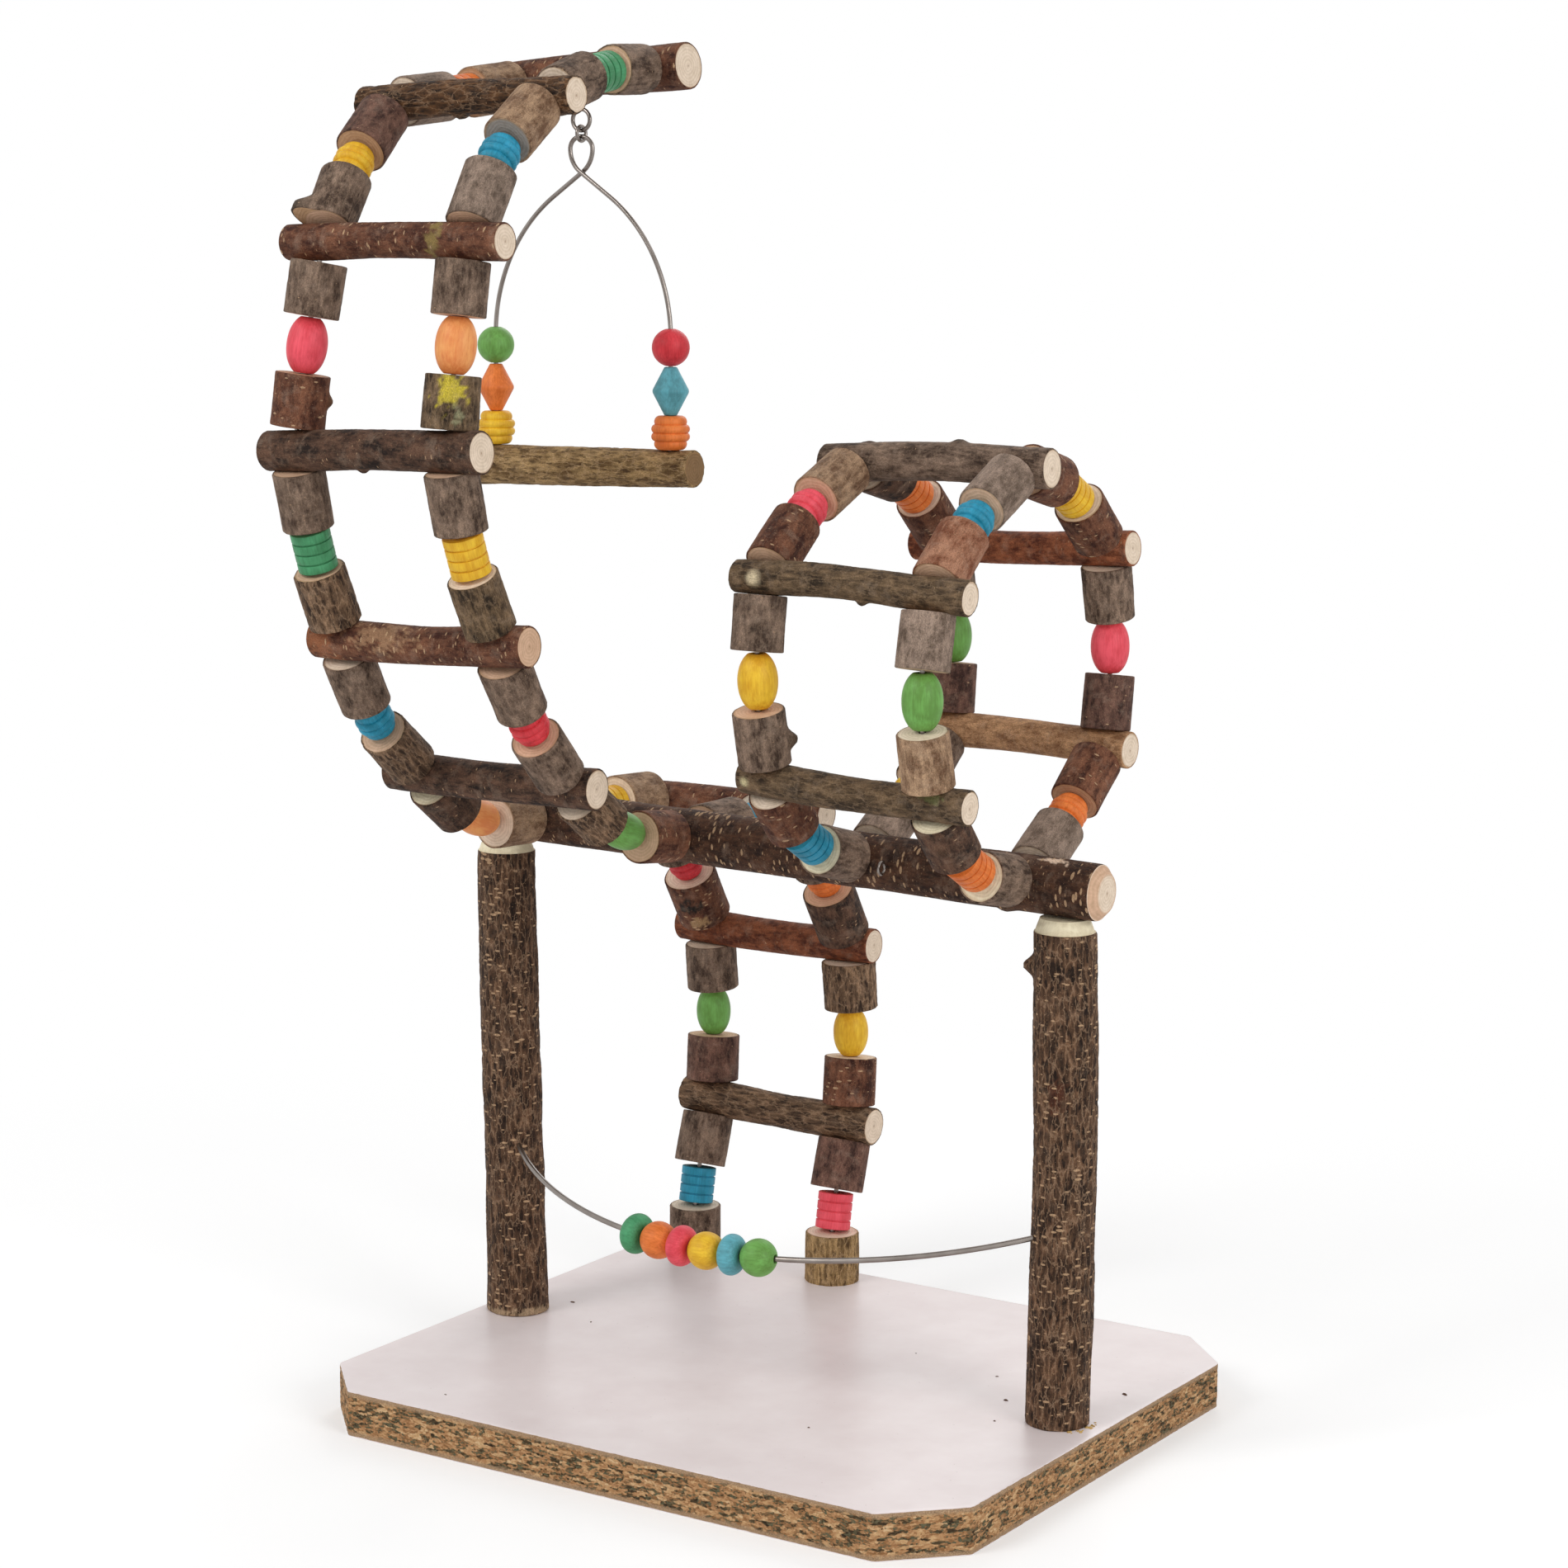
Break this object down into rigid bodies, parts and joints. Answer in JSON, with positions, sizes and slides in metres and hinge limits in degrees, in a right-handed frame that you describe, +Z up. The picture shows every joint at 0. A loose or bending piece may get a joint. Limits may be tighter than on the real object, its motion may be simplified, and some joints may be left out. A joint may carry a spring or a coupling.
{
  "type": "parrot_play_stand",
  "caption": "Table-top play stand for a parrot: bark-covered branches on a board, with a curling ladder, a ring of rungs, a swing and a wire of sliding beads.",
  "frame": {"origin": "middle of the base board's underside", "axes": "+X along the main perch to the end without the ladder, +Y to the back where the ladder comes down, +Z up"},
  "size_m": [0.4027, 0.4066, 0.7361],
  "materials": {
    "chipboard": "melamine face, bare edge",
    "bark": "rough bark",
    "green_bark": "rough bark",
    "wire": "satin",
    "bead_green": "dyed, satin",
    "bead_light_green": "dyed, satin",
    "bead_orange": "dyed, satin",
    "bead_peach": "dyed, satin",
    "bead_red": "dyed, satin",
    "bead_pink": "dyed, satin",
    "bead_yellow": "dyed, satin",
    "bead_blue": "dyed, satin",
    "bead_light_blue": "dyed, satin"
  },
  "bodies": {
    "stand": {"base_board": "chipboard", "left_post": "bark", "right_post": "bark", "main_perch": "bark", "ladder_rungs": "bark", "ring_rungs": "bark", "crescent_blocks": "bark", "ramp_blocks": "bark", "ring_blocks": "bark", "side_wires": "wire", "toy_wire": "wire", "screw_eyes": "wire", "screws": "wire"},
    "swing_link": {"swing_link": "wire"},
    "swing": {"swing_hanger": "wire", "swing_perch": "green_bark"},
    "crescent_bead_1_left": {"crescent_bead_1_left": "bead_peach"},
    "crescent_bead_2_left": {"crescent_bead_2_left": "bead_blue"},
    "crescent_bead_3_left": {"crescent_bead_3_left": "bead_green"},
    "crescent_bead_4_left": {"crescent_bead_4_left": "bead_pink"},
    "crescent_bead_5_left": {"crescent_bead_5_left": "bead_yellow"},
    "crescent_bead_6_left": {"crescent_bead_6_left": "bead_orange"},
    "ramp_bead_1_left": {"ramp_bead_1_left": "bead_yellow"},
    "ramp_bead_2_left": {"ramp_bead_2_left": "bead_red"},
    "ramp_bead_3_left": {"ramp_bead_3_left": "bead_light_green"},
    "ramp_bead_4_left": {"ramp_bead_4_left": "bead_blue"},
    "ring_bead_1_left": {"ring_bead_1_left": "bead_blue"},
    "ring_bead_2_left": {"ring_bead_2_left": "bead_yellow"},
    "ring_bead_3_left": {"ring_bead_3_left": "bead_pink"},
    "ring_bead_4_left": {"ring_bead_4_left": "bead_orange"},
    "ring_bead_5_left": {"ring_bead_5_left": "bead_light_green"},
    "ring_bead_6_left": {"ring_bead_6_left": "bead_yellow"},
    "swing_bead_left_bottom": {"swing_bead_left_bottom": "bead_yellow"},
    "swing_bead_left_middle": {"swing_bead_left_middle": "bead_orange"},
    "swing_bead_left_top": {"swing_bead_left_top": "bead_light_green"},
    "crescent_bead_1_right": {"crescent_bead_1_right": "bead_light_green"},
    "crescent_bead_2_right": {"crescent_bead_2_right": "bead_red"},
    "crescent_bead_3_right": {"crescent_bead_3_right": "bead_yellow"},
    "crescent_bead_4_right": {"crescent_bead_4_right": "bead_peach"},
    "crescent_bead_5_right": {"crescent_bead_5_right": "bead_blue"},
    "crescent_bead_6_right": {"crescent_bead_6_right": "bead_green"},
    "ramp_bead_1_right": {"ramp_bead_1_right": "bead_blue"},
    "ramp_bead_2_right": {"ramp_bead_2_right": "bead_orange"},
    "ramp_bead_3_right": {"ramp_bead_3_right": "bead_yellow"},
    "ramp_bead_4_right": {"ramp_bead_4_right": "bead_pink"},
    "ring_bead_1_right": {"ring_bead_1_right": "bead_orange"},
    "ring_bead_2_right": {"ring_bead_2_right": "bead_light_green"},
    "ring_bead_3_right": {"ring_bead_3_right": "bead_blue"},
    "ring_bead_4_right": {"ring_bead_4_right": "bead_yellow"},
    "ring_bead_5_right": {"ring_bead_5_right": "bead_pink"},
    "ring_bead_6_right": {"ring_bead_6_right": "bead_orange"},
    "swing_bead_right_bottom": {"swing_bead_right_bottom": "bead_orange"},
    "swing_bead_right_middle": {"swing_bead_right_middle": "bead_light_blue"},
    "swing_bead_right_top": {"swing_bead_right_top": "bead_red"},
    "toy_bead_1": {"toy_bead_1": "bead_green"},
    "toy_bead_2": {"toy_bead_2": "bead_orange"},
    "toy_bead_3": {"toy_bead_3": "bead_pink"},
    "toy_bead_4": {"toy_bead_4": "bead_yellow"},
    "toy_bead_5": {"toy_bead_5": "bead_light_blue"},
    "toy_bead_6": {"toy_bead_6": "bead_light_green"}
  },
  "joints": [
    {"name": "swing_fore_aft", "type": "hinge", "parent": "stand", "child": "swing_link", "pos_m": [-0.121, -0.01649, 0.69128], "axis": [1, 0, 0], "range_deg": [-45, 45]},
    {"name": "swing_side", "type": "hinge", "parent": "swing_link", "child": "swing", "pos_m": [-0.121, -0.01649, 0.68573], "axis": [0, 1, 0], "range_deg": [-15, 15]},
    {"name": "toy_bead_1_slide", "type": "hinge", "parent": "stand", "child": "toy_bead_1", "pos_m": [-0.0035, 0.15728, 0.17167], "axis": [0, -0.2672, 0.9636], "range_deg": [-28, 14]},
    {"name": "toy_bead_2_slide", "type": "hinge", "parent": "toy_bead_1", "child": "toy_bead_2", "pos_m": [-0.0035, 0.15728, 0.17167], "axis": [0, -0.2672, 0.9636], "range_deg": [0, 3.5]},
    {"name": "toy_bead_3_slide", "type": "hinge", "parent": "toy_bead_2", "child": "toy_bead_3", "pos_m": [-0.0035, 0.15728, 0.17167], "axis": [0, -0.2672, 0.9636], "range_deg": [0, 3.5]},
    {"name": "toy_bead_4_slide", "type": "hinge", "parent": "toy_bead_3", "child": "toy_bead_4", "pos_m": [-0.0035, 0.15728, 0.17167], "axis": [0, -0.2672, 0.9636], "range_deg": [0, 3.5]},
    {"name": "toy_bead_5_slide", "type": "hinge", "parent": "toy_bead_4", "child": "toy_bead_5", "pos_m": [-0.0035, 0.15728, 0.17167], "axis": [0, -0.2672, 0.9636], "range_deg": [0, 3.5]},
    {"name": "toy_bead_6_slide", "type": "hinge", "parent": "toy_bead_5", "child": "toy_bead_6", "pos_m": [-0.0035, 0.15728, 0.17167], "axis": [0, -0.2672, 0.9636], "range_deg": [0, 3.5]},
    {"name": "crescent_bead_1_left_spin", "type": "hinge", "parent": "stand", "child": "crescent_bead_1_left", "pos_m": [-0.16257, -0.05764, 0.32104], "axis": [-0.0365, -0.9418, 0.3342], "continuous": true},
    {"name": "crescent_bead_2_left_spin", "type": "hinge", "parent": "stand", "child": "crescent_bead_2_left", "pos_m": [-0.163, -0.14347, 0.3847], "axis": [0.0288, -0.657, 0.7533], "continuous": true},
    {"name": "crescent_bead_3_left_spin", "type": "hinge", "parent": "stand", "child": "crescent_bead_3_left", "pos_m": [-0.1615, -0.19209, 0.47755], "axis": [0, -0.3269, 0.9451], "continuous": true},
    {"name": "crescent_bead_4_left_spin", "type": "hinge", "parent": "stand", "child": "crescent_bead_4_left", "pos_m": [-0.15594, -0.20175, 0.58091], "axis": [0.1046, 0.1014, 0.9893], "continuous": true},
    {"name": "crescent_bead_5_left_spin", "type": "hinge", "parent": "stand", "child": "crescent_bead_5_left", "pos_m": [-0.15749, -0.16207, 0.67117], "axis": [-0.136, 0.7128, 0.6881], "continuous": true},
    {"name": "crescent_bead_6_left_spin", "type": "hinge", "parent": "stand", "child": "crescent_bead_6_left", "pos_m": [-0.16254, -0.06956, 0.70895], "axis": [0.0372, 0.9913, 0.1266], "continuous": true},
    {"name": "ramp_bead_1_left_spin", "type": "hinge", "parent": "stand", "child": "ramp_bead_1_left", "pos_m": [-0.15946, 0.05706, 0.31306], "axis": [0.0183, 0.9994, -0.0306], "continuous": true},
    {"name": "ramp_bead_2_left_spin", "type": "hinge", "parent": "stand", "child": "ramp_bead_2_left", "pos_m": [-0.16, 0.13923, 0.26787], "axis": [-0.0287, 0.5582, -0.8292], "continuous": true},
    {"name": "ramp_bead_3_left_spin", "type": "hinge", "parent": "stand", "child": "ramp_bead_3_left", "pos_m": [-0.16051, 0.17098, 0.17165], "axis": [0.019, -0.0043, -0.9998], "continuous": true},
    {"name": "ramp_bead_4_left_spin", "type": "hinge", "parent": "stand", "child": "ramp_bead_4_left", "pos_m": [-0.1595, 0.15275, 0.06759], "axis": [0, -0.1778, -0.9841], "continuous": true},
    {"name": "ring_bead_1_left_spin", "type": "hinge", "parent": "stand", "child": "ring_bead_1_left", "pos_m": [0.04947, -0.05384, 0.32887], "axis": [-0.0095, -0.8585, 0.5127], "continuous": true},
    {"name": "ring_bead_2_left_spin", "type": "hinge", "parent": "stand", "child": "ring_bead_2_left", "pos_m": [0.049, -0.10014, 0.41587], "axis": [0, -0.0557, 0.9984], "continuous": true},
    {"name": "ring_bead_3_left_spin", "type": "hinge", "parent": "stand", "child": "ring_bead_3_left", "pos_m": [0.049, -0.05588, 0.4988], "axis": [0, 0.8584, 0.5131], "continuous": true},
    {"name": "ring_bead_4_left_spin", "type": "hinge", "parent": "stand", "child": "ring_bead_4_left", "pos_m": [0.0495, 0.04292, 0.50453], "axis": [0.0095, 0.8841, -0.4671], "continuous": true},
    {"name": "ring_bead_5_left_spin", "type": "hinge", "parent": "stand", "child": "ring_bead_5_left", "pos_m": [0.05, 0.09158, 0.42145], "axis": [0, 0.0428, -0.9991], "continuous": true},
    {"name": "ring_bead_6_left_spin", "type": "hinge", "parent": "stand", "child": "ring_bead_6_left", "pos_m": [0.05, 0.04807, 0.33945], "axis": [0, -0.8273, -0.5618], "continuous": true},
    {"name": "swing_bead_left_bottom_spin", "type": "hinge", "parent": "swing", "child": "swing_bead_left_bottom", "pos_m": [-0.1803, -0.01519, 0.53107], "axis": [0, 0, 1], "continuous": true},
    {"name": "swing_bead_left_middle_spin", "type": "hinge", "parent": "swing", "child": "swing_bead_left_middle", "pos_m": [-0.1803, -0.01519, 0.55307], "axis": [0, 0, 1], "continuous": true},
    {"name": "swing_bead_left_top_spin", "type": "hinge", "parent": "swing", "child": "swing_bead_left_top", "pos_m": [-0.1803, -0.01519, 0.57617], "axis": [0, 0, 1], "continuous": true},
    {"name": "crescent_bead_1_right_spin", "type": "hinge", "parent": "stand", "child": "crescent_bead_1_right", "pos_m": [-0.06609, -0.05619, 0.3227], "axis": [-0.0461, -0.9321, 0.3592], "continuous": true},
    {"name": "crescent_bead_2_right_spin", "type": "hinge", "parent": "stand", "child": "crescent_bead_2_right", "pos_m": [-0.0655, -0.13857, 0.38887], "axis": [0.0568, -0.6421, 0.7645], "continuous": true},
    {"name": "crescent_bead_3_right_spin", "type": "hinge", "parent": "stand", "child": "crescent_bead_3_right", "pos_m": [-0.06375, -0.19121, 0.47994], "axis": [-0.0238, -0.3335, 0.9425], "continuous": true},
    {"name": "crescent_bead_4_right_spin", "type": "hinge", "parent": "stand", "child": "crescent_bead_4_right", "pos_m": [-0.06323, -0.19928, 0.58281], "axis": [0.034, 0.1036, 0.994], "continuous": true},
    {"name": "crescent_bead_5_right_spin", "type": "hinge", "parent": "stand", "child": "crescent_bead_5_right", "pos_m": [-0.06449, -0.16215, 0.67499], "axis": [-0.058, 0.7133, 0.6985], "continuous": true},
    {"name": "crescent_bead_6_right_spin", "type": "hinge", "parent": "stand", "child": "crescent_bead_6_right", "pos_m": [-0.06994, -0.07085, 0.71851], "axis": [-0.0485, 0.9848, 0.1669], "continuous": true},
    {"name": "ramp_bead_1_right_spin", "type": "hinge", "parent": "stand", "child": "ramp_bead_1_right", "pos_m": [-0.06246, 0.05705, 0.31223], "axis": [0.0183, 0.9997, -0.0147], "continuous": true},
    {"name": "ramp_bead_2_right_spin", "type": "hinge", "parent": "stand", "child": "ramp_bead_2_right", "pos_m": [-0.063, 0.14024, 0.26789], "axis": [-0.0283, 0.5713, -0.8202], "continuous": true},
    {"name": "ramp_bead_3_right_spin", "type": "hinge", "parent": "stand", "child": "ramp_bead_3_right", "pos_m": [-0.06301, 0.17168, 0.17061], "axis": [0.028, -0.0306, -0.9991], "continuous": true},
    {"name": "ramp_bead_4_right_spin", "type": "hinge", "parent": "stand", "child": "ramp_bead_4_right", "pos_m": [-0.0615, 0.15268, 0.06656], "axis": [0, -0.173, -0.9849], "continuous": true},
    {"name": "ring_bead_1_right_spin", "type": "hinge", "parent": "stand", "child": "ring_bead_1_right", "pos_m": [0.14647, -0.05525, 0.32513], "axis": [-0.0094, -0.8677, 0.497], "continuous": true},
    {"name": "ring_bead_2_right_spin", "type": "hinge", "parent": "stand", "child": "ring_bead_2_right", "pos_m": [0.146, -0.10152, 0.41319], "axis": [0, -0.0235, 0.9997], "continuous": true},
    {"name": "ring_bead_3_right_spin", "type": "hinge", "parent": "stand", "child": "ring_bead_3_right", "pos_m": [0.146, -0.05486, 0.49761], "axis": [0, 0.8349, 0.5504], "continuous": true},
    {"name": "ring_bead_4_right_spin", "type": "hinge", "parent": "stand", "child": "ring_bead_4_right", "pos_m": [0.1465, 0.04177, 0.50671], "axis": [0.0098, 0.8852, -0.4651], "continuous": true},
    {"name": "ring_bead_5_right_spin", "type": "hinge", "parent": "stand", "child": "ring_bead_5_right", "pos_m": [0.147, 0.09075, 0.42225], "axis": [0, 0.0333, -0.9994], "continuous": true},
    {"name": "ring_bead_6_right_spin", "type": "hinge", "parent": "stand", "child": "ring_bead_6_right", "pos_m": [0.147, 0.04659, 0.3379], "axis": [0, -0.8178, -0.5755], "continuous": true},
    {"name": "swing_bead_right_bottom_spin", "type": "hinge", "parent": "swing", "child": "swing_bead_right_bottom", "pos_m": [-0.0617, -0.01779, 0.5324], "axis": [0, 0, 1], "continuous": true},
    {"name": "swing_bead_right_middle_spin", "type": "hinge", "parent": "swing", "child": "swing_bead_right_middle", "pos_m": [-0.0617, -0.01779, 0.5544], "axis": [0, 0, 1], "continuous": true},
    {"name": "swing_bead_right_top_spin", "type": "hinge", "parent": "swing", "child": "swing_bead_right_top", "pos_m": [-0.0617, -0.01779, 0.5775], "axis": [0, 0, 1], "continuous": true}
  ]
}
